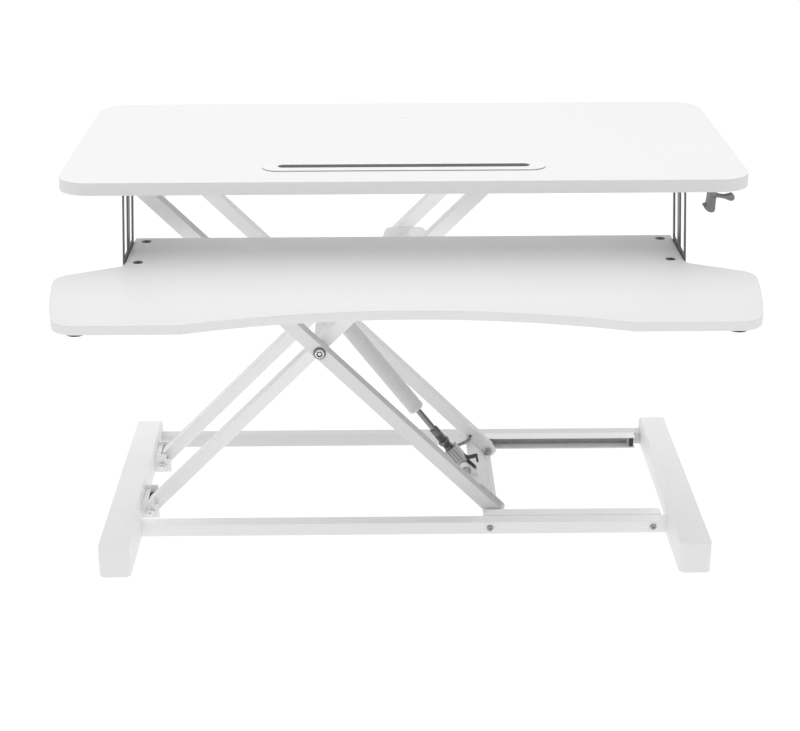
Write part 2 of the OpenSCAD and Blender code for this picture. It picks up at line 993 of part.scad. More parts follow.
module foot_solid() {
    r = 18;
    yr = foot_rear;
    difference() {
        union() {
            box([348, foot_front, foot_z], [foot_outer, yr - r, foot_h]);
            box([348, yr - r - 1, foot_z], [foot_outer, yr, foot_h - r]);
            translate([348, yr - r, foot_h - r])
                rotate([0, 90, 0])
                    cylinder(r = r, h = foot_outer - 348);
            box([342, foot_front, foot_z], [349, rail_front - 0.4, foot_h]);
        }
        difference() {
            box([340, foot_front - 1, -1], [foot_outer + 1, foot_front + 8, foot_h + 1]);
            box([350, foot_front - 2, -2], [foot_outer - 8, foot_front + 9, foot_h + 2]);
            translate([350, foot_front + 8, -2])
                cylinder(r = 8, h = foot_h + 4);
            translate([foot_outer - 8, foot_front + 8, -2])
                cylinder(r = 8, h = foot_h + 4);
        }
    }
}

module foot_hollow() {
    box([350.5, foot_front + 3, -1], [foot_outer - 2.5, foot_rear - 22, foot_h - 2.6]);
    box([344.5, foot_front + 9, -1], [352, rail_front - 3, foot_h - 2.6]);
    box([350.5, foot_rear - 24, -1], [foot_outer - 2.5, foot_rear - 2.7, rail_top + 0.4]);
    for (y = [rail_front, rail_rear - rail_d])
        box([340, y - 0.3, -1], [352, y + rail_d + 0.3, rail_top + 0.3]);
}

module foot_cover() {
    difference() {
        foot_solid();
        foot_hollow();
        box([347, rail_front + rail_d + 2, 21.5], [348.8, foot_rear - 36, 22.5]);
    }
}

module foot_right() {
    color(white) centred()
        foot_cover();
}

module foot_left() {
    color(white) centred()
        mirror([1, 0, 0])
            foot_cover();
}

// Steel tubes along Y inside the feet, which join the two rails.
module base_side_rails() {
    color(white) centred()
        for (s = [-1, 1])
            difference() {
                box(
                    [s > 0 ? 353 : -371, foot_front + 14, rail_z],
                    [s > 0 ? 371 : -353, rail_rear - rail_d - 0.2, rail_top]
                );
                box(
                    [s > 0 ? 354.6 : -369.4, foot_front + 13, rail_z + 1.6],
                    [s > 0 ? 369.4 : -354.6, rail_rear, rail_top - 1.6]
                );
                box(
                    [s > 0 ? 352 : -372, rail_front - 0.2, 0],
                    [s > 0 ? 372 : -352, rail_front + rail_d + 0.2, rail_top + 1]
                );
            }
}

module foot_pads() {
    color(black) centred()
        for (x = [-362, 362])
            for (y = [foot_front + 30, rail_rear - 40])
                translate([x, y, 0])
                    cylinder(r = 8, h = rail_z);
}

module base_rail(y0) {
    difference() {
        box([-371, y0, rail_z], [371, y0 + rail_d, rail_top]);
        box([-372, y0 + 1.6, rail_z + 1.6], [372, y0 + rail_d - 1.6, rail_top - 1.6]);
    }
}

module base_rail_front() {
    color(white) centred()
        difference() {
            base_rail(rail_front);
            for (x = [112, 325])
                bar_y(x, low_z - 0.6, 2, rail_front - 1, rail_front + rail_d + 1);
        }
}

module base_rail_rear() {
    color(white) centred()
        difference() {
            base_rail(rail_rear - rail_d);
            for (x = [112, 325])
                bar_y(x, low_z - 0.6, 2, rail_rear - rail_d - 1, rail_rear + 1);
        }
}

module base_track_front() {
    color(white) centred()
        difference() {
            channel(low_track_front, low_z, 1);
            for (x = [112, 325])
                bar_y(x, low_z - 0.6, 2, low_track_front - 1, low_track_front + 3);
        }
}

module base_track_rear() {
    color(white) centred()
        difference() {
            channel(low_track_rear, low_z, -1);
            for (x = [112, 325])
                bar_y(x, low_z - 0.6, 2, low_track_rear - 3, low_track_rear + 1);
        }
}

module rail_screws() {
    color(steel) centred()
        for (x = [112, 325]) {
            pan_screw(x, low_z - 0.6, rail_front, 2.6, rail_d + 2, 4.2, 2);
            pan_screw(x, low_z - 0.6, rail_rear, -2.6, rail_d + 2, 4.2, 2);
        }
}

// End stops of the lower channels.
module track_stops() {
    color(black) centred()
        for (x = [104.5, 331])
            for (y = [low_track_front + 6, low_track_rear - 14])
                box([x, y, low_z - 7.2], [x + 5, y + 8, low_z + 7.2]);
}

// U bracket of a lower left pivot. The B arm turns between its two ears.
module base_pivot_bracket(y0, y1) {
    difference() {
        union() {
            box([-348, y0, 0.7], [-346.2, y1, 21.5]);
            box([-348, y0, 20], [-341, y1, 21.5]);
            for (y = [y0, y1 - 2.5])
                box([-348, y, 0.7], [-325, y + 2.5, 20.4]);
            for (y = [y0, y1 - 2.5])
                box([-348, y, 20], [-331, y + 2.5, 27]);
        }
        bar_y(left_pivot_x, low_z, bolt_r, y0 - 1, y1 + 1);
    }
}

module base_pivot_bracket_front() {
    color(white) centred()
        base_pivot_bracket(b_front - 7.5, b_front + arm_d + 20);
}

module base_pivot_bracket_rear() {
    color(white) centred()
        base_pivot_bracket(b_rear - 20, b_rear + arm_d + 7.5);
}

module base_pivot_bolts() {
    color(steel) centred()
        for (f = [0, 1])
            translate([0, f * (a_front + arm_d + a_rear), 0])
                mirror([0, f, 0])
                    pivot_bolt(left_pivot_x, low_z, b_front - 7.5, b_front + arm_d + 20);
}

module base_spacers() {
    color(black) centred()
        for (f = [0, 1])
            translate([0, f * (a_front + arm_d + a_rear), 0])
                mirror([0, f, 0])
                    for (y = [[b_front - 4.9, b_front - 0.3], [b_front + arm_d + 0.3, b_front + arm_d + 17.4]])
                        difference() {
                            bar_y(left_pivot_x, low_z, 6.5, y[0], y[1]);
                            bar_y(left_pivot_x, low_z, bolt_r + 0.02, y[0] - 1, y[1] + 1);
                        }
}

module bracket_bolts() {
    color(steel) centred()
        for (y = [b_front + arm_d + 10, b_rear - 10])
            translate([-346.2, y, low_z])
                rotate([0, 90, 0]) {
                    cylinder(r = 4.4, h = 1.1);
                    translate([0, 0, 1.1])
                        cylinder(d = 8, h = 1.2, $fn = 6);
                }
}

// Bolts, spacers and stops of the base, which are all fixed to it.
module base_hardware() {
    base_pivot_bolts();
    base_spacers();
    bracket_bolts();
    track_stops();
}

desktop_panel();
tablet_slot_trim();
accessory_hole_cap();
keyboard_tray();
tray_screws();
tray_pads();
side_bracket_left();
side_bracket_right();
side_bracket_screws();
top_rail_front();
top_rail_rear();
top_cross_members();
top_track_front();
top_track_rear();
top_pivot_bracket_front();
top_pivot_bracket_rear();
top_pivot_bolts();
handle_housing();
handle_lever();
cable_top();
cable_clips();
cable_arm();
arm_a_front();
arm_a_rear();
a_cross_plate();
a_top_tube();
spring_pin();
base_axles();
base_roller_front();
base_roller_rear();
arm_b_front();
arm_b_rear();
b_axles();
top_roller_front();
top_roller_rear();
b_cross_plate();
crank_tube();
crank_screws();
centre_bolts();
centre_washers();
spacer_bushes();
gas_cylinder();
cylinder_guide();
piston_rod();
lock_sleeve();
lock_head();
release_lever();
release_pin();
foot_left();
foot_right();
base_side_rails();
foot_pads();
base_rail_front();
base_rail_rear();
base_track_front();
base_track_rear();
rail_screws();
base_pivot_bracket_front();
base_pivot_bracket_rear();
base_hardware();
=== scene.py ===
import json
import math

import bmesh
import bpy
from mathutils import Matrix, Vector

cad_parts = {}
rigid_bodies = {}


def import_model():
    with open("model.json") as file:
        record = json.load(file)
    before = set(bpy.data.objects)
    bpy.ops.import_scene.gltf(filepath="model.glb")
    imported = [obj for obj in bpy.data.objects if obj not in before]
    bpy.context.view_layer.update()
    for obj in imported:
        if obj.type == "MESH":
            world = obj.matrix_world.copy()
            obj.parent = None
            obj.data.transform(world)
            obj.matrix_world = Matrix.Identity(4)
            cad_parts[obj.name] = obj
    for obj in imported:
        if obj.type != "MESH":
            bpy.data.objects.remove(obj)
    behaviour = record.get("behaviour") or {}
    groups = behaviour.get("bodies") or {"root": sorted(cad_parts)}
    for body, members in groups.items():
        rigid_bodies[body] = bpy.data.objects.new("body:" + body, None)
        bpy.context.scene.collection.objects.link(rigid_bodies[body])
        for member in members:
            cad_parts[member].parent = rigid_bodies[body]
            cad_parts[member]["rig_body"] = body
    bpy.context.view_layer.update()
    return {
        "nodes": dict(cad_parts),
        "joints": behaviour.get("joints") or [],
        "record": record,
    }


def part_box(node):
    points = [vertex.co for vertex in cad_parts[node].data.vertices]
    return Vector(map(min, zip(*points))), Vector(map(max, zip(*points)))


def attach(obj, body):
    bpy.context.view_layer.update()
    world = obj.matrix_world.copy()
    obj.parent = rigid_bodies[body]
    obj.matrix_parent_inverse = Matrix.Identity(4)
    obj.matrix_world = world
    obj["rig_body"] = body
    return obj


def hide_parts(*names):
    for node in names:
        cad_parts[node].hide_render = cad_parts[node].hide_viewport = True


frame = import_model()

# ---------- places from the frame ----------

MM = 0.001
RECORD = frame["record"]
SLOT = {s["node"]: s["material_slot"] for s in RECORD["subparts"]}
JOINT = {j["name"]: j for j in frame["joints"]}
Y_AXIS = Vector((0, 1, 0))
LEFT_LOW = Vector(JOINT["lift"]["pos_m"])
CENTRE = Vector(JOINT["scissor"]["pos_m"])
LEFT_HIGH = Vector(JOINT["top_level"]["pos_m"])
EYE = Vector(JOINT["spring_swing"]["pos_m"])
UP_SPRING = -Vector(JOINT["spring_stroke"]["axis"]).normalized()
CRANK = 29 * MM
UPPER_EYE = CENTRE + Vector((CRANK, 0, CRANK)) / math.sqrt(2)
SPRING_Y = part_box("piston_rod")[0].lerp(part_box("piston_rod")[1], 0.5).y
SPRING_LENGTH = math.hypot(UPPER_EYE.x - EYE.x, UPPER_EYE.z - EYE.z)

# Sizes in mm that more than one piece shares.
ROD_R = 4
BARREL_R = 11
BARREL_END = 110
THREAD_R = 6
CABLE_R = 1.68
SLEEVE_R = 2.35
CHANNEL_WALL = 1.5
AXLE_NUT_FLATS = 10


def node_body(node):
    return frame["nodes"][node]["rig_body"]


# ---------- materials ----------


class Nodes:
    """A small helper that adds shader nodes to one material."""

    def __init__(self, name):
        self.mat = bpy.data.materials.new(name)
        self.mat.use_nodes = True
        self.tree = self.mat.node_tree
        self.shader = self.tree.nodes["Principled BSDF"]
        self.coords = self.tree.nodes.new("ShaderNodeTexCoord").outputs["Object"]

    def link(self, a, b):
        self.tree.links.new(a, b)

    def noise(self, scale, detail=3.0, rough=0.5, vector=None):
        n = self.tree.nodes.new("ShaderNodeTexNoise")
        n.inputs["Scale"].default_value = scale
        n.inputs["Detail"].default_value = detail
        n.inputs["Roughness"].default_value = rough
        self.link(vector or self.coords, n.inputs["Vector"])
        return n.outputs["Fac"]

    def stretched(self, x, y, z):
        m = self.tree.nodes.new("ShaderNodeMapping")
        m.inputs["Scale"].default_value = (x, y, z)
        self.link(self.coords, m.inputs["Vector"])
        return m.outputs["Vector"]

    def ramp(self, fac, low, high, pos=(0.3, 0.7)):
        r = self.tree.nodes.new("ShaderNodeValToRGB")
        for element, value, p in zip(r.color_ramp.elements, (low, high), pos):
            element.position = p
            element.color = value if len(value) == 4 else (*value, 1)
        self.link(fac, r.inputs["Fac"])
        return r.outputs["Color"]

    def map_range(self, fac, low, high):
        r = self.tree.nodes.new("ShaderNodeMapRange")
        r.inputs["From Min"].default_value = 0.3
        r.inputs["From Max"].default_value = 0.7
        r.inputs["To Min"].default_value = low
        r.inputs["To Max"].default_value = high
        self.link(fac, r.inputs["Value"])
        return r.outputs["Result"]

    def bump(self, height, strength, distance, normal=None):
        b = self.tree.nodes.new("ShaderNodeBump")
        b.inputs["Strength"].default_value = strength
        b.inputs["Distance"].default_value = distance
        self.link(height, b.inputs["Height"])
        if normal:
            self.link(normal, b.inputs["Normal"])
        return b.outputs["Normal"]

    def finish(self, color, rough, normal, metallic=0.0):
        self.link(color, self.shader.inputs["Base Color"])
        self.link(rough, self.shader.inputs["Roughness"])
        self.link(normal, self.shader.inputs["Normal"])
        self.shader.inputs["Metallic"].default_value = metallic
        return self.mat


def shade(colour, k):
    return tuple(c * k for c in colour)


def powder_coat(name, colour, gloss=0.42):
    """Powder coat: orange peel about 1.5 mm across, fine grain over it, and slightly uneven gloss."""
    n = Nodes(name)
    tint = n.ramp(n.noise(9, 4), shade(colour, 0.985), colour)
    rough = n.map_range(n.noise(60, 4), gloss - 0.05, gloss + 0.07)
    peel = n.bump(n.noise(700, 2), 0.12, 0.0002)
    return n.finish(tint, rough, n.bump(n.noise(2600, 2), 0.06, 0.0001, peel))


def laminate(name, colour, edge):
    """Melamine face: a fine pearl texture, with the edge colour on faces that stand upright; on the tray that
    lighter edge colour is a painted light.
    """
    n = Nodes(name)
    face = n.ramp(n.noise(5, 5), shade(colour, 0.99), colour)
    split = n.tree.nodes.new("ShaderNodeSeparateXYZ")
    n.link(n.tree.nodes.new("ShaderNodeNewGeometry").outputs["Normal"], split.inputs[0])
    upright = n.tree.nodes.new("ShaderNodeMath")
    upright.operation = "ABSOLUTE"
    n.link(split.outputs["Z"], upright.inputs[0])
    upright_colour = n.ramp(n.noise(300, 3, 0.5, n.stretched(0.1, 0.1, 3.0)), shade(edge, 0.98), edge)
    mix = n.tree.nodes.new("ShaderNodeMix")
    mix.data_type = "RGBA"
    n.link(upright.outputs[0], mix.inputs["Factor"])
    n.link(upright_colour, mix.inputs["A"])
    n.link(face, mix.inputs["B"])
    tint = mix.outputs["Result"]
    rough = n.map_range(n.noise(240, 5), 0.36, 0.5)
    pearl = n.bump(n.noise(1500, 3), 0.10, 0.0002)
    band = n.noise(500, 2, 0.5, n.stretched(0.1, 0.1, 3.0))
    return n.finish(tint, rough, n.bump(band, 0.03, 0.0002, pearl))


def moulded(name, colour, rough=0.5, grain=2200):
    """Moulded plastic with a spark eroded grain."""
    n = Nodes(name)
    tint = n.ramp(n.noise(14, 4), shade(colour, 0.97), colour)
    gloss = n.map_range(n.noise(90, 3), rough - 0.06, rough + 0.06)
    fine = n.bump(n.noise(grain, 2, 0.6), 0.16, 0.0002)
    return n.finish(tint, gloss, n.bump(n.noise(160, 2), 0.04, 0.0004, fine))


def metal(name, colour, rough, stretch=(1, 1, 1), metallic=1.0):
    """Plated or drawn steel: brushed streaks, cloudy tint and small pits."""
    n = Nodes(name)
    streaks = n.noise(900, 4, 0.6, n.stretched(*stretch))
    tint = n.ramp(n.noise(70, 5), shade(colour, 0.86), colour)
    gloss = n.map_range(streaks, rough - 0.07, rough + 0.1)
    pits = n.bump(n.noise(1800, 2), 0.08, 0.0001)
    return n.finish(tint, gloss, n.bump(streaks, 0.05, 0.0001, pits), metallic)


def rubber(name, colour):
    n = Nodes(name)
    tint = n.ramp(n.noise(40, 4), shade(colour, 0.7), shade(colour, 1.3))
    gloss = n.map_range(n.noise(300, 3), 0.62, 0.85)
    return n.finish(tint, gloss, n.bump(n.noise(1400, 3), 0.25, 0.0003))


MATERIALS = {
    "board": laminate("white_melamine", (0.90, 0.90, 0.905), (0.86, 0.86, 0.865)),
    # The tray's melamine: its face darker than the desktop's, a painted shade from the top above it, and its
    # upright edges lighter, a painted light.
    "tray_board_light_and_shade": laminate("white_tray_melamine_painted_light_and_shade", (0.82, 0.82, 0.825), (0.94, 0.94, 0.945)),
    "paint": powder_coat("white_powder_coat", (0.92, 0.92, 0.925)),
    # A lighter copy of the white powder coat, for the B arms and the front rail and channel: painted light.
    "paint_painted_light": powder_coat("white_powder_coat_painted_light", (0.98, 0.98, 0.985)),
    # A darker copy of the white powder coat, for the A arms and the A cross plate: painted shade.
    "arm_paint_painted_shade": powder_coat("white_powder_coat_arm_painted_shade", (0.84, 0.84, 0.845)),
    # Darker still, on the A arms' upper walls that face up and to the right: painted shade.
    "arm_upper_painted_shade": powder_coat("white_arm_paint_upper_wall", (0.56, 0.56, 0.565)),
    # A darker copy of the white powder coat, for the rear rail and the rear A arm's upper wall: painted
    # shade.
    "rail_paint_painted_shade": powder_coat("white_powder_coat_rail_painted_shade", (0.76, 0.76, 0.765)),
    "cylinder": powder_coat("white_gloss_paint", (0.66, 0.66, 0.67), 0.24),
    "white_plastic": moulded("white_moulding", (0.98, 0.98, 0.98), 0.5),
    "grey_plastic": moulded("grey_moulding", (0.25, 0.25, 0.26), 0.42),
    "trim": moulded("white_trim", (0.93, 0.935, 0.94), 0.4),
    # Dark plastic in the slot's trough and on the rim's outer wall: painted shade.
    "trim_walls": moulded("trim_walls_painted_shade", (0.36, 0.36, 0.365), 0.6),
    "dark": metal("dark_plated_steel", (0.10, 0.10, 0.105), 0.38, (1, 1, 8), 0.7),
    "bracket": metal("grey_plated_steel", (0.17, 0.17, 0.175), 0.42, (1, 1, 8), 0.6),
    "sleeve": metal("nickel_plated_steel", (0.19, 0.19, 0.20), 0.34, (6, 6, 1)),
    "head": metal("cast_zinc", (0.46, 0.46, 0.47), 0.36, (2, 2, 2)),
    "zinc": metal("bright_zinc", (0.42, 0.42, 0.43), 0.3, (1, 1, 6)),
    "bright": metal("polished_nickel", (0.84, 0.84, 0.85), 0.24, (2, 2, 2)),
    # A dark sheet on the channels' inner webs: painted shade.
    "shade_sheet": metal("channel_painted_shade_sheet", (0.36, 0.36, 0.37), 0.45, (0.2, 2, 2), 0.3),
    "chrome": metal("hard_chrome_rod", (0.30, 0.30, 0.31), 0.16, (8, 8, 1)),
    # Black nylon for rollers, spacers, bushes and stops; also the centre bolts' socket walls, where it is a
    # painted shade.
    "nylon_and_socket_shade": moulded("black_nylon_and_socket_shade", (0.025, 0.025, 0.026), 0.4, 1800),
    "rubber": rubber("dark_rubber", (0.06, 0.06, 0.06)),
    "cable": moulded("grey_cable_sheath", (0.10, 0.10, 0.105), 0.3, 2600),
}
SLOT_MATERIAL = {
    "white_board": "board",
    "white_paint": "paint",
    "white_plastic": "white_plastic",
    "grey_plastic": "grey_plastic",
    "dark_steel": "dark",
    "zinc_steel": "zinc",
    "black_plastic": "nylon_and_socket_shade",
    "rubber": "rubber",
}


# ---------- mesh helpers ----------


def piece_from(bm, name, material, body, smooth=32):
    """Turns a bmesh into a piece that rides on a CAD body."""
    bmesh.ops.recalc_face_normals(bm, faces=bm.faces)
    mesh = bpy.data.meshes.new(name)
    bm.to_mesh(mesh)
    bm.free()
    mesh.shade_smooth()
    mesh.set_sharp_from_angle(angle=math.radians(smooth))
    obj = bpy.data.objects.new(name, mesh)
    bpy.context.scene.collection.objects.link(obj)
    mesh.materials.append(MATERIALS[material])
    weighted = obj.modifiers.new("flat_faces", "WEIGHTED_NORMAL")
    weighted.keep_sharp = True
    weighted.weight = 80
    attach(obj, body)
    return obj


def refine(node, bevel, segments=3, material=None, shortest=0.55 * MM):
    """A finished copy of a CAD node: flat faces made whole, and its edges rounded as the real ones are."""
    bm = bmesh.new()
    bm.from_mesh(frame["nodes"][node].data)
    bmesh.ops.remove_doubles(bm, verts=bm.verts, dist=1e-6)
    bmesh.ops.dissolve_limit(bm, angle_limit=math.radians(0.4), verts=bm.verts, edges=bm.edges)
    edges = [
        e
        for e in bm.edges
        if e.is_manifold and e.calc_length() > shortest and e.calc_face_angle(0) > math.radians(30)
    ]
    bmesh.ops.bevel(
        bm, geom=edges, offset=bevel * MM, segments=segments, profile=0.5,
        affect="EDGES", clamp_overlap=True,
    )
    slot = SLOT[node]
    obj = piece_from(bm, node + "_finished", material or SLOT_MATERIAL[slot], node_body(node), 30)
    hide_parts(node)
    return obj


def second_material(obj, material, chosen):
    """Gives the chosen faces of a piece another material."""
    obj.data.materials.append(MATERIALS[material])
    for face in obj.data.polygons:
        if chosen(face):
            face.material_index = 1


def turned(rings, steps=48):
    """A closed solid of rings about Z. A ring is (radius, height) in mm; radius may depend on the angle."""
    bm = bmesh.new()
    loops = []
    for radius, height in rings:
        loop = []
        for k in range(steps):
            a = 2 * math.pi * k / steps
            r = (radius(a) if callable(radius) else radius) * MM
            loop.append(bm.verts.new((r * math.cos(a), r * math.sin(a), height * MM)))
        loops.append(loop)
    for low, high in zip(loops, loops[1:]):
        for k in range(steps):
            m = (k + 1) % steps
            bm.faces.new((low[k], low[m], high[m], high[k]))
    bm.faces.new(list(reversed(loops[0])))
    bm.faces.new(loops[-1])
    return bm


def place(bm, at, axis):
    """Puts a solid made about +Z at a point, along an axis."""
    turn = Vector(axis).to_track_quat("Z", "Y").to_matrix().to_4x4()
    bm.transform(Matrix.Translation(at) @ turn)
    return bm


def join(*parts):
    """One bmesh from several."""
    whole = bmesh.new()
    for part in parts:
        mesh = bpy.data.meshes.new("part")
        part.to_mesh(mesh)
        part.free()
        whole.from_mesh(mesh)
        bpy.data.meshes.remove(mesh)
    return whole


def hexagon(flats):
    def radius(a):
        return flats / 2 / math.cos((a % (math.pi / 3)) - math.pi / 6)

    return radius


def cross(arm, width):
    """Outline of a cross recess."""

    def radius(a):
        fold = a % (math.pi / 2)
        fold = min(fold, math.pi / 2 - fold)
        return min(arm / math.cos(fold), width / 2 / max(math.sin(fold), 1e-6))

    return radius


def clipped(outline, limit):
    def radius(a):
        return min(outline(a), limit)

    return radius


def dome(r, h, top, n=6):
    """Rings of a domed head, from its rim to a flat of radius top."""
    rings = [(r * 0.96, 0), (r, h * 0.08), (r, h * 0.22)]
    for k in range(1, n + 1):
        t = k / n * math.pi / 2
        rings.append((top + (r - top) * math.cos(t), h * (0.22 + 0.78 * math.sin(t))))
    return rings


def socket_head(r, h, flats):
    """Button head with a hexagon socket."""
    rings = dome(r, h, flats * 0.66)
    rings += [(hexagon(flats), h), (hexagon(flats * 0.98), h * 0.35), (flats * 0.2, h * 0.2)]
    return rings


def cross_head(r, h):
    """Pan head with a cross recess."""
    rings = dome(r, h, r * 0.62)
    rings += [(cross(r * 0.56, r * 0.26), h), (cross(r * 0.42, r * 0.18), h * 0.4)]
    return rings + [(r * 0.05, h * 0.3)]


def nut(flats, h):
    """Hexagon nut with chamfered corners and the bolt's end showing."""
    six = hexagon(flats)
    edge = flats / 2 * 1.06
    return [
        (clipped(six, edge), 0), (six, h * 0.14), (six, h * 0.86), (clipped(six, edge), h),
        (flats * 0.34, h), (flats * 0.30, h * 0.86), (flats * 0.29, h * 1.25), (flats * 0.25, h * 1.35),
    ]


def bolt(name, node, head, x, z, y_head, y_nut, shank, nut_flats=0, nut_h=0, material="zinc"):
    """A bolt of a CAD node, along Y: head rings outside y_head, shank, and a nut beyond y_nut, in metres."""
    way = Vector((0, 1 if y_nut > y_head else -1, 0))
    grip = abs(y_nut - y_head) / MM
    parts = [
        place(turned(head), (x, y_head, z), -way),
        place(turned([(shank, -0.2), (shank, grip + 0.2)], 32), (x, y_head, z), way),
    ]
    if nut_flats:
        parts.append(place(turned(nut(nut_flats, nut_h)), (x, y_nut, z), way))
    obj = piece_from(join(*parts), name, material, node_body(node))
    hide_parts(node)


def bolt_pair(node, head, head_h, grip, shank, nut_flats, nut_h, material="zinc"):
    """The front and rear bolt of a node whose bolts mirror each other. Sizes are in mm."""
    low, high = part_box(node)
    x, z = (low.x + high.x) / 2, (low.z + high.z) / 2
    for side, y, way in (("front", low.y + head_h * MM, 1), ("rear", high.y - head_h * MM, -1)):
        y_nut = y + way * grip * MM
        bolt(f"{node}_{side}", node, head, x, z, y, y_nut, shank, nut_flats, nut_h, material)


def centre_sockets():
    """The centre bolts' hexagon sockets: a wall of black nylon, a painted shade, round a bright floor."""
    low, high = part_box("centre_bolts")
    x, z = (low.x + high.x) / 2, (low.z + high.z) / 2
    wall = [(hexagon(7.3), 1.65), (hexagon(7.3), 3.3), (hexagon(6.7), 3.3), (hexagon(6.7), 1.75)]
    seat = [(2.2, 1.7), (2.3, 1.8), (2.3, 2.3), (1.9, 2.45), (0.8, 2.45), (0.6, 2.0)]
    for side, y, way in (("front", low.y + 3.4 * MM, -1), ("rear", high.y - 3.4 * MM, 1)):
        for part, rings, material in (("wall", wall, "nylon_and_socket_shade"), ("seat", seat, "bright")):
            piece = piece_from(
                place(turned(rings), (x, y, z), Y_AXIS * way), f"centre_socket_{part}_{side}", material,
                node_body("centre_bolts"),
            )
            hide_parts("centre_bolts")


def slab(a, b, half_wide, half_deep, side, edge=0.4):
    """A flat bar from a to b, half_wide along side and half_deep along Y."""
    bm = bmesh.new()
    ends = []
    for q in (a, b):
        ends.append([
            bm.verts.new(q + side * half_wide * i + Y_AXIS * half_deep * k)
            for i, k in ((-1, -1), (1, -1), (1, 1), (-1, 1))
        ])
    for k in range(4):
        m = (k + 1) % 4
        bm.faces.new((ends[0][k], ends[0][m], ends[1][m], ends[1][k]))
    bm.faces.new(list(reversed(ends[0])))
    bm.faces.new(ends[1])
    bmesh.ops.bevel(bm, geom=list(bm.edges), offset=edge * MM, segments=2, profile=0.5, affect="EDGES")
    return bm


def smooth_path(points, per=8):
    """Points on a smooth curve through a list of points."""
    p = [Vector(q) for q in points]
    p = [2 * p[0] - p[1]] + p + [2 * p[-1] - p[-2]]
    out = []
    for a, b, c, d in zip(p, p[1:], p[2:], p[3:]):
        for k in range(per):
            t = k / per
            out.append(
                0.5 * (2 * b + (c - a) * t + (2 * a - 5 * b + 4 * c - d) * t * t
                       + (3 * b - a - 3 * c + d) * t ** 3)
            )
    out.append(p[-2])
    return out


def tube(path, r, steps=16):
    """A round solid along a path, without twist."""
    bm = bmesh.new()
    loops = []
    side = Vector((0.3, 0.2, 1))
    for i, q in enumerate(path):
        ahead = (path[min(i + 1, len(path) - 1)] - path[max(i - 1, 0)]).normalized()
        side = (side - ahead * side.dot(ahead)).normalized()
        up = ahead.cross(side)
        ring = [2 * math.pi * k / steps for k in range(steps)]
        loops.append([bm.verts.new(q + r * (side * math.cos(a) + up * math.sin(a))) for a in ring])
    for low, high in zip(loops, loops[1:]):
        for k in range(steps):
            m = (k + 1) % steps
            bm.faces.new((low[k], low[m], high[m], high[k]))
    bm.faces.new(list(reversed(loops[0])))
    bm.faces.new(loops[-1])
    return bm


# ---------- camera and studio ----------


def camera():
    """The photograph's viewpoint, measured from the middle of the floor outline."""
    pitch, yaw, roll = 0.377, 0.011, -0.003
    forward = Vector((math.sin(yaw) * math.cos(pitch), math.cos(yaw) * math.cos(pitch), -math.sin(pitch)))
    right = Vector((math.cos(yaw), -math.sin(yaw), 0))
    up = right.cross(forward)
    x = right * math.cos(roll) + up * math.sin(roll)
    y = up * math.cos(roll) - right * math.sin(roll)
    turn = Matrix((x, y, -forward)).transposed().to_4x4()
    data = bpy.data.cameras.new("camera")
    data.sensor_width = 36
    data.lens = 77.61
    data.clip_end = 60
    cam = bpy.data.objects.new("camera", data)
    bpy.context.scene.collection.objects.link(cam)
    cam.matrix_world = Matrix.Translation((-0.0269, -2.007, 1.0345)) @ turn
    bpy.context.scene.camera = cam


def area_light(name, at, to, size, power):
    data = bpy.data.lights.new(name, "AREA")
    data.shape = "RECTANGLE"
    data.size, data.size_y = size
    data.energy = power
    lamp = bpy.data.objects.new(name, data)
    bpy.context.scene.collection.objects.link(lamp)
    lamp.location = at
    lamp.rotation_mode = "QUATERNION"
    lamp.rotation_quaternion = (Vector(to) - Vector(at)).to_track_quat("-Z", "Y")


def studio():
    scene = bpy.context.scene
    scene.view_settings.view_transform = "Standard"
    world = bpy.data.worlds.new("studio")
    scene.world = world
    world.use_nodes = True
    sky = world.node_tree.nodes["Background"]
    sky.inputs["Color"].default_value = (1, 1, 1, 1)
    sky.inputs["Strength"].default_value = 0.42
    area_light("overhead", (-0.12, 0.6, 2.7), (0, 0.6, 0), (4.5, 4.5), 80)

    bm = bmesh.new()
    bmesh.ops.create_grid(bm, x_segments=8, y_segments=8, size=22)
    mesh = bpy.data.meshes.new("floor")
    bm.to_mesh(mesh)
    bm.free()
    floor = bpy.data.objects.new("floor", mesh)
    scene.collection.objects.link(floor)
    n = Nodes("pale_floor")
    n.finish(
        n.ramp(n.noise(2), (0.05, 0.05, 0.05), (0.06, 0.06, 0.06)),
        n.map_range(n.noise(8), 0.8, 0.9),
        n.bump(n.noise(400), 0.02, 0.0002),
    )
    n.shader.inputs["Emission Color"].default_value = (1, 1, 1, 1)
    n.shader.inputs["Emission Strength"].default_value = 0.985
    mesh.materials.append(n.mat)


# ---------- the top ----------


def channel_shade_sheet(node):
    """A dark sheet on the inner web of a roller channel: painted shade. The channels open towards the middle
    plane.
    """
    low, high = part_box(node)
    rear = "rear" in node
    web = high.y - CHANNEL_WALL * MM if rear else low.y + CHANNEL_WALL * MM
    z = (low.z + high.z) / 2
    y = web - 0.12 * MM if rear else web + 0.12 * MM
    start, end = Vector((low.x + 8 * MM, y, z)), Vector((high.x - 10 * MM, y, z))
    bar = slab(start, end, 7 * MM, 0.16 * MM, Vector((0, 0, 1)), 0.05)
    shade_sheet = piece_from(bar, node + "_strip", "shade_sheet", node_body(node))
    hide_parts(node)


def slot_trim():
    """The slot's trim: a pale rim, with a painted shade, darker plastic, in its trough and on the rim's outer
    wall.
    """
    trim = refine("tablet_slot_trim", 0.35, 2, "trim")
    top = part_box("tablet_slot_trim")[1].z

    def in_shade(face):
        depth = top - face.center.z
        return depth > 1.9 * MM or (abs(face.normal.z) < 0.3 and depth > 0.5 * MM)

    second_material(trim, "trim_walls", in_shade)


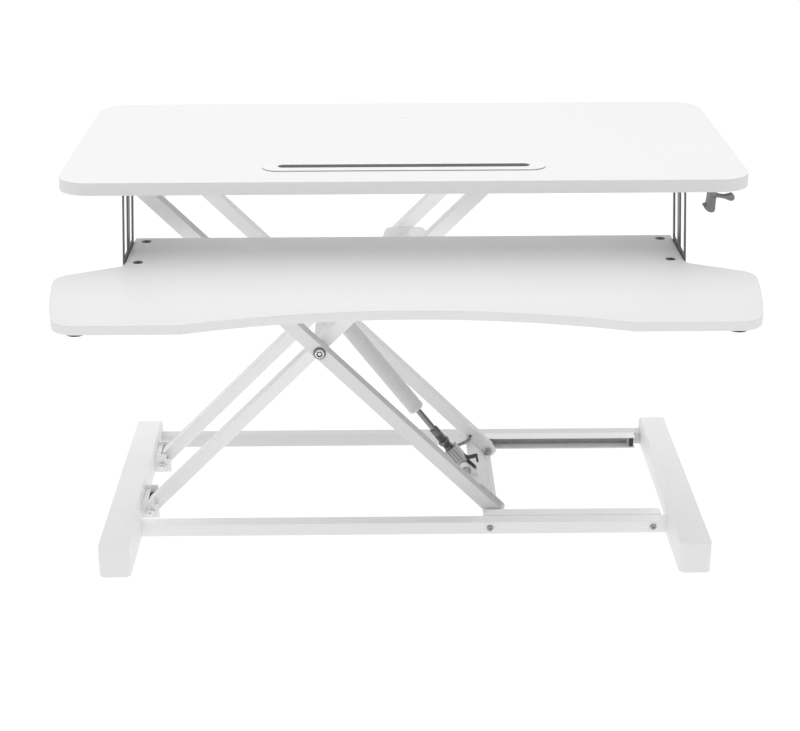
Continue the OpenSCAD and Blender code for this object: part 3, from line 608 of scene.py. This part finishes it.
def top_parts():
    refine("desktop_panel", 1.1, 4, "board", shortest=2 * MM)
    slot_trim()
    refine("accessory_hole_cap", 0.4, 2, "trim", shortest=0.3 * MM)
    refine("keyboard_tray", 1.3, 4, "tray_board_light_and_shade", shortest=1.2 * MM)
    for side in ("left", "right"):
        refine(f"side_bracket_{side}", 0.6, 2, "bracket")
    for node in ("top_rail_front", "top_rail_rear", "top_cross_members"):
        refine(node, 0.8, 2)
    for node in ("top_track_front", "top_track_rear"):
        refine(node, 0.4, 2)
        channel_shade_sheet(node)
    for node in ("top_pivot_bracket_front", "top_pivot_bracket_rear"):
        refine(node, 0.4, 2)
    refine("cable_clips", 0.5, 2)


def tray_screws():
    """Broad flat heads on the tray, with their shanks through it."""
    low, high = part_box("tray_screws")
    inset = 6.0 * MM
    z = high.z - 1.7 * MM
    for i, x in enumerate((low.x + inset, high.x - inset)):
        for k, y in enumerate((low.y + inset, high.y - inset)):
            head = [(r, h * 0.55) for r, h in cross_head(6.0, 3.0)]
            parts = [
                place(turned(head), (x, y, z), (0, 0, 1)),
                place(turned([(2.5, -0.1), (2.5, 13.6)], 24), (x, y, z), (0, 0, -1)),
            ]
            obj = piece_from(join(*parts), f"tray_screw_{i}{k}", "dark", "top")
            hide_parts("tray_screws")


def bracket_screws():
    """Pan head screws under the top flanges of the side brackets."""
    low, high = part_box("side_bracket_screws")
    inset = 4.8 * MM
    for i, x in enumerate((low.x + inset, high.x - inset)):
        for k, y in enumerate((low.y + inset, high.y - inset)):
            seat = (x, y, low.z + 2.2 * MM)
            parts = [
                place(turned(cross_head(4.8, 2.2)), seat, (0, 0, -1)),
                place(turned([(2.5, -0.1), (2.5, 2.5)], 24), seat, (0, 0, 1)),
            ]
            obj = piece_from(
                join(*parts), f"bracket_screw_{i}{k}", "zinc", "top"
            )
            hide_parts("side_bracket_screws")


def tray_pads():
    """Round rubber pads with a hollowed face, under the tray's wings."""
    low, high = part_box("tray_pads")
    inset = 11 * MM
    pad = [(11, 0), (11, 0.6), (10.8, 1.8), (10.4, 2.3), (10, 2.4), (8, 2.4), (7.7, 2.1), (0.4, 2.1)]
    for i, x in enumerate((low.x + inset, high.x - inset)):
        obj = piece_from(
            place(turned(pad), (x, low.y + inset, high.z), (0, 0, -1)),
            f"tray_pad_{i}", "rubber", "top",
        )
        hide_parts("tray_pads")


def handle():
    refine("handle_housing", 1.4, 4, "grey_plastic")
    refine("handle_lever", 0.9, 3, "grey_plastic", shortest=0.2 * MM)


# ---------- scissor ----------


def scissor():
    for node in ("arm_b_front", "arm_b_rear"):
        refine(node, 1.5, 3, "paint_painted_light")
    # The A arms' upper walls, facing up and to the right, get a darker paint: painted shade.
    for node, wall in (("arm_a_front", "arm_upper_painted_shade"), ("arm_a_rear", "rail_paint_painted_shade")):
        arm = refine(node, 1.5, 3, "arm_paint_painted_shade")
        second_material(arm, wall, lambda face: face.normal.x > 0.6 and face.normal.z > 0.6)
    refine("a_cross_plate", 0.7, 2, "arm_paint_painted_shade")
    refine("b_cross_plate", 0.7, 2)
    refine("a_top_tube", 0.4, 2)
    refine("crank_tube", 0.4, 2)
    head = dome(6.2, 3.4, 4.5) + [(hexagon(7.4), 3.4), (hexagon(7.4), 1.6), (0.3, 1.5)]
    bolt_pair("centre_bolts", head, 3.4, 46.4, 3, AXLE_NUT_FLATS, 4.5, "bright")
    centre_sockets()
    bolt_pair("top_pivot_bolts", socket_head(6.5, 3.4, 4), 3.4, 27, 3, AXLE_NUT_FLATS, 5)
    for node, thick, grip in (("base_axles", 1.3, 39.3), ("b_axles", 1.1, 37.3)):
        flat_head = [(5.3, 0), (5.5, 0.3), (5.5, thick - 0.2), (5.2, thick)]
        bolt_pair(node, flat_head, thick, grip, 4, AXLE_NUT_FLATS, 4)
    refine("centre_washers", 0.25, 2, "sleeve", shortest=0.2 * MM)
    refine("spacer_bushes", 0.3, 2, "nylon_and_socket_shade", shortest=0.2 * MM)
    for node in ("base_roller_front", "base_roller_rear", "top_roller_front", "top_roller_rear"):
        refine(node, 0.4, 2, "nylon_and_socket_shade", shortest=0.2 * MM)
    refine("crank_screws", 0.4, 2, "zinc", shortest=0.2 * MM)
    refine("spring_pin", 0.4, 2, "zinc", shortest=0.2 * MM)


# ---------- gas spring ----------


def thread(r, depth, start, end, pitch):
    """Rings of a threaded stretch."""
    rings = []
    h = start
    while h + pitch <= end:
        rings += [(r - depth, h), (r, h + pitch * 0.4), (r, h + pitch * 0.55), (r - depth, h + pitch)]
        h += pitch
    return rings


def gas_spring():
    bore = [(ROD_R + 0.3, 200), (ROD_R + 0.3, BARREL_END)]
    collar = [(7.6, BARREL_END), (9.0, 110.2), (10.2, 110.9), (10.9, 112), (BARREL_R, 113.5), (BARREL_R, 117)]
    groove = [(10.4, 118), (10.2, 118.7), (10.4, 119.4), (BARREL_R, 120.4)]
    closed_end = [(BARREL_R, 262), (10.7, 264.5), (9.6, 266.8), (7.4, 268.2), (4.6, 268.37)]
    body = bore + collar + groove + closed_end
    barrel = piece_from(
        place(turned(body, 64), EYE, UP_SPRING),
        "gas_cylinder_barrel", "cylinder", "cylinder",
    )
    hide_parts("gas_cylinder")
    across = UP_SPRING.cross(Y_AXIS)
    tongue = [(5.2, -3.5), (6, -3.1), (6, 3.1), (5.2, 3.5)]
    eye_at = EYE + UP_SPRING * SPRING_LENGTH
    eye = join(
        place(turned(tongue), eye_at, Y_AXIS),
        slab(eye_at, eye_at - UP_SPRING * 17 * MM, 4.9 * MM, 3.4 * MM, across),
    )
    eye_piece = piece_from(eye, "gas_cylinder_eye", "zinc", "cylinder")
    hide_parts("gas_cylinder")
    refine("cylinder_guide", 0.3, 2, "dark", shortest=0.3 * MM)
    rod = piece_from(
        place(turned([(3.9, 73), (ROD_R, 73.3), (ROD_R, 160)]), EYE, UP_SPRING),
        "piston_rod_chrome", "chrome", "lock",
    )
    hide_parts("piston_rod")
    locknut = hexagon(13.86)
    sleeve = [(5.4, 37.5), (THREAD_R, 38.2), (THREAD_R, 41)] + thread(THREAD_R, 0.55, 41, 47.4, 1.2)
    sleeve += [(5.6, 47.5), (locknut, 47.5), (locknut, 52.5), (5.6, 52.5)]
    sleeve += thread(THREAD_R, 0.55, 52.6, 64, 1.2) + [(THREAD_R, 66), (THREAD_R, 73.6), (5.3, 74.5)]
    grip = piece_from(
        place(turned(sleeve), EYE, UP_SPRING), "lock_sleeve_thread", "sleeve", "lock"
    )
    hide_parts("lock_sleeve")
    refine("lock_head", 0.4, 2, "head")
    refine("release_lever", 0.4, 2, "dark", shortest=0.2 * MM)
    refine("release_pin", 0.2, 2, "zinc", shortest=0.1 * MM)


# ---------- base ----------


def base_hardware():
    """Pivot bolts, spacers, bracket bolts and the channels' end stops, in their own materials."""
    x, z = LEFT_LOW.x, LEFT_LOW.z
    for side, way in (("front", 1), ("rear", -1)):
        low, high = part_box(f"base_pivot_bracket_{side}")
        y_head, y_nut = (low.y, high.y) if way == 1 else (high.y, low.y)
        bolt(
            f"base_pivot_bolt_{side}", "base_hardware", socket_head(6.5, 3.4, 4), x, z, y_head, y_nut,
            3, AXLE_NUT_FLATS, 5, "bright",
        )
        for i, (near, far) in enumerate(((2.6, 7.2), (28.8, 45.9))):
            ring = [(6.1, near), (6.5, near + 0.4), (6.5, far - 0.4), (6.1, far)]
            spacer = piece_from(
                place(turned(ring), (x, y_head, z), Y_AXIS * way),
                f"base_spacer_{side}_{i}", "nylon_and_socket_shade", "base",
            )
            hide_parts("base_hardware")
        hexed = [(4.4, 0), (4.4, 1), (hexagon(8), 1.1), (hexagon(8), 2.1), (3.4, 2.3)]
        mount = piece_from(
            place(turned(hexed), (low.x + 1.8 * MM, y_nut - way * 10 * MM, z), (1, 0, 0)),
            f"bracket_bolt_{side}", "zinc", "base",
        )
        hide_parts("base_hardware")
        track_low, track_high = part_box(f"base_track_{side}")
        y = track_low.y + 10 * MM if way == 1 else track_high.y - 10 * MM
        for i, x_stop in enumerate((track_low.x + 3 * MM, track_high.x - 4.5 * MM)):
            foot, head = Vector((x_stop, y, z - 7.2 * MM)), Vector((x_stop, y, z + 7.2 * MM))
            bar = slab(foot, head, 2.5 * MM, 4 * MM, Vector((1, 0, 0)))
            stop = piece_from(bar, f"track_stop_{side}_{i}", "nylon_and_socket_shade", "base")
            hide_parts("base_hardware")


def base():
    for side in ("left", "right"):
        refine(f"foot_{side}", 2.2, 4, "white_plastic")
    refine("base_side_rails", 0.8, 2)
    refine("foot_pads", 0.2, 2, "rubber", shortest=0.3 * MM)
    refine("base_rail_front", 1.2, 3, "paint_painted_light")
    refine("base_rail_rear", 1.2, 3, "rail_paint_painted_shade")
    for node, paint in (("base_track_front", "paint_painted_light"), ("base_track_rear", "paint")):
        refine(node, 0.4, 2, paint)
        channel_shade_sheet(node)
    for node in ("base_pivot_bracket_front", "base_pivot_bracket_rear"):
        refine(node, 0.4, 2)
    low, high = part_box("rail_screws")
    reach = 4.2 * MM
    z = (low.z + high.z) / 2
    for i, x in enumerate((low.x + reach, high.x - reach)):
        for side, y, way in (("front", low.y + 2.6 * MM, 1), ("rear", high.y - 2.6 * MM, -1)):
            y_end = y + way * 20.5 * MM
            bolt(f"rail_screw_{side}_{i}", "rail_screws", cross_head(4.2, 2.6), x, z, y, y_end, 2)
    base_hardware()


# ---------- cable ----------


def cable_on_top():
    """The sheath from the handle, along the rear of the top and round to the upper left pivot."""
    low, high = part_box("cable_top")
    r = CABLE_R * MM
    x0, y0, y1, z = LEFT_HIGH.x, low.y + r, high.y - r, high.z - r
    x1 = high.x - r
    route = [(x1, y0, z), (x1, y0 + 0.09, z), (x1, y1 - 0.05, z)]
    route += [
        (x1 - 2 * MM, y1 - 24 * MM, z), (x1 - 9 * MM, y1 - 12 * MM, z), (x1 - 22 * MM, y1 - 3 * MM, z),
        (x1 - 38 * MM, y1, z), (0.2, y1, z), (-0.1, y1, z), (x0 + 40 * MM, y1, z),
        (x0 + 14 * MM, y1, z - 0.5 * MM), (x0 + 4 * MM, y1, z - 5 * MM),
        (x0 + 0.5 * MM, y1 - 0.4 * MM, z - 14 * MM), (x0, y1 - 1.2 * MM, LEFT_HIGH.z + 4 * MM),
        (x0, y1 - 2.2 * MM, LEFT_HIGH.z),
    ]
    top = piece_from(tube(smooth_path(route), r), "cable_top_sheath", "cable", "top")
    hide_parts("cable_top")


def on_a(x, y, z_off):
    """A place on the A frame: x mm down along it, z_off mm above its middle line."""
    k = math.sqrt(0.5) * MM
    return (CENTRE.x + (x + z_off) * k, y, CENTRE.z + (z_off - x) * k)


def cable_in_arm():
    """The sheath into the rear A arm at its upper end, and out of it to the lock."""
    r = CABLE_R * MM
    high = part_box("cable_arm")[1]
    arm_low, arm_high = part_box("arm_a_rear")
    back, mid, front = arm_high.y, (arm_low.y + arm_high.y) / 2, arm_low.y
    run = [on_a(-326, high.y - r, 0), on_a(-320, high.y - r - 0.4 * MM, 0), on_a(-300, high.y - 4 * MM, 1.6)]
    run += [on_a(-289, back + 4.1 * MM, 3), on_a(-272, back - 1 * MM, 4), on_a(-256.5, mid, 4.5)]
    run += [on_a(-120, mid, 4.8), on_a(0, mid, 4.95), on_a(150, mid, 3.5), on_a(270, mid, 2)]
    run += [on_a(284, mid - 3 * MM, -0.5), on_a(291, front + 3.5 * MM, -2), on_a(291, front - 4 * MM, -2)]
    run.append((EYE.x + 8.4 * MM, SPRING_Y + 94 * MM, EYE.z - 0.1 * MM))
    inner = piece_from(tube(smooth_path(run), r), "cable_arm_sheath", "cable", "a_frame")
    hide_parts("cable_arm")


def cable_sleeve():
    """The outer sleeve between the arm and the lock, and its two ferrules."""
    open_run = [
        (9.6, 99.6, -1.6), (7.6, 90, 1.2), (3.4, 76, 4.9), (-3.1, 56, 10.9), (-10.6, 37, 16.4),
        (-17.1, 23, 20.9), (-21, 15.6, 23.2),
    ]
    path = smooth_path([(EYE.x + a * MM, SPRING_Y + b * MM, EYE.z + c * MM) for a, b, c in open_run])
    outer = piece_from(
        tube(path, SLEEVE_R * MM, 24), "cable_outer_sleeve", "cable", "a_frame"
    )
    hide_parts("cable_arm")
    rings = [(2.0, -7), (2.4, -6.7), (2.4, -0.8), (2.0, -0.3), (1.2, 0)]
    for name, at, way in (("lock", path[-1], path[-1] - path[-2]), ("arm", path[0], path[0] - path[1])):
        way = way.normalized()
        ferrule = piece_from(
            place(turned(rings, 32), at + way * 2 * MM, way),
            f"cable_ferrule_{name}", "zinc", "a_frame",
        )
        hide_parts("cable_arm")


camera()
studio()
top_parts()
tray_screws()
bracket_screws()
tray_pads()
handle()
scissor()
gas_spring()
base()
cable_on_top()
cable_in_arm()
cable_sleeve()
